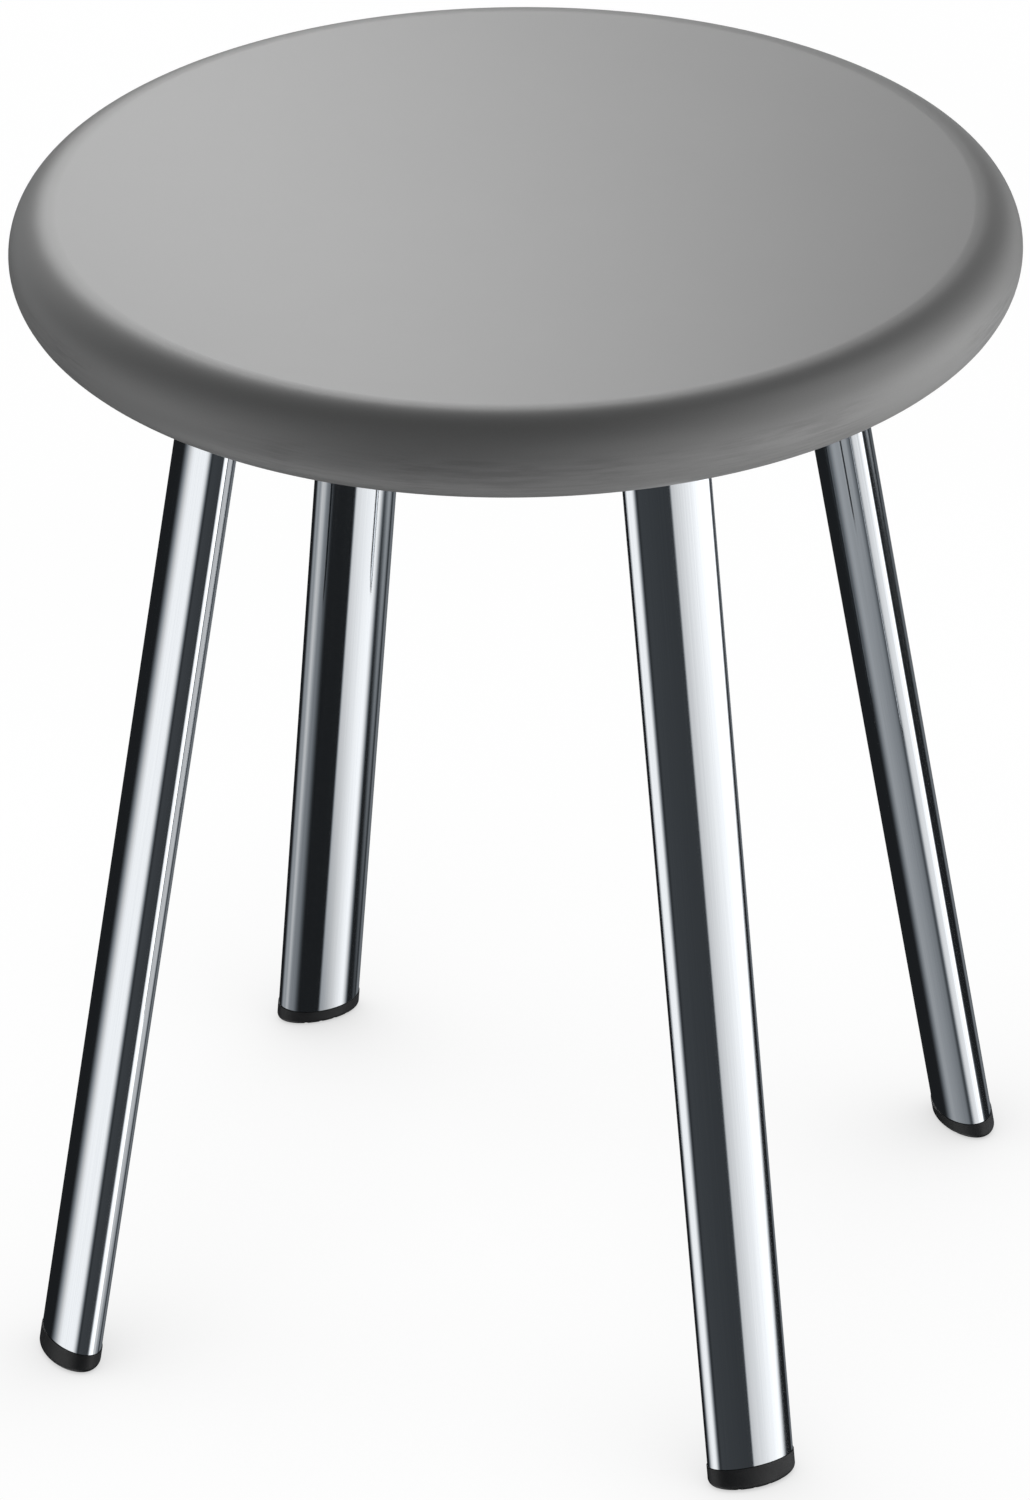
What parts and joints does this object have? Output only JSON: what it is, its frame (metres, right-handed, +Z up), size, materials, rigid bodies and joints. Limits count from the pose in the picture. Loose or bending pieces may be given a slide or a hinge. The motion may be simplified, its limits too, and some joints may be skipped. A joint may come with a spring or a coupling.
{
  "type": "shower stool",
  "caption": "Round padded bathroom stool with a flat top and a half-round edge, on splayed oval metal legs with black non-slip foot caps.",
  "frame": {"origin": "on the floor, under the middle of the seat", "axes": "+Z up to the seat; the legs stand on the diagonals, between the X and Y axes, and the front is towards -Y"},
  "size_m": [0.378, 0.3778, 0.45],
  "materials": {
    "pad": "matte",
    "core": "matte",
    "tube": "polished",
    "plate": "satin",
    "screw": "satin",
    "insert": "satin",
    "foot": "matte"
  },
  "bodies": {
    "root": {"seat_pad": "pad", "seat_core": "core", "leg_tube_front_right": "tube", "leg_tube_rear_right": "tube", "leg_tube_rear_left": "tube", "leg_tube_front_left": "tube", "leg_plate_front_right": "plate", "leg_plate_rear_right": "plate", "leg_plate_rear_left": "plate", "leg_plate_front_left": "plate", "plate_screws_front_right": "screw", "plate_screws_rear_right": "screw", "plate_screws_rear_left": "screw", "plate_screws_front_left": "screw", "core_inserts_front_right": "insert", "core_inserts_rear_right": "insert", "core_inserts_rear_left": "insert", "core_inserts_front_left": "insert", "foot_cap_front_right": "foot", "foot_cap_rear_right": "foot", "foot_cap_rear_left": "foot", "foot_cap_front_left": "foot"}
  },
  "joints": []
}
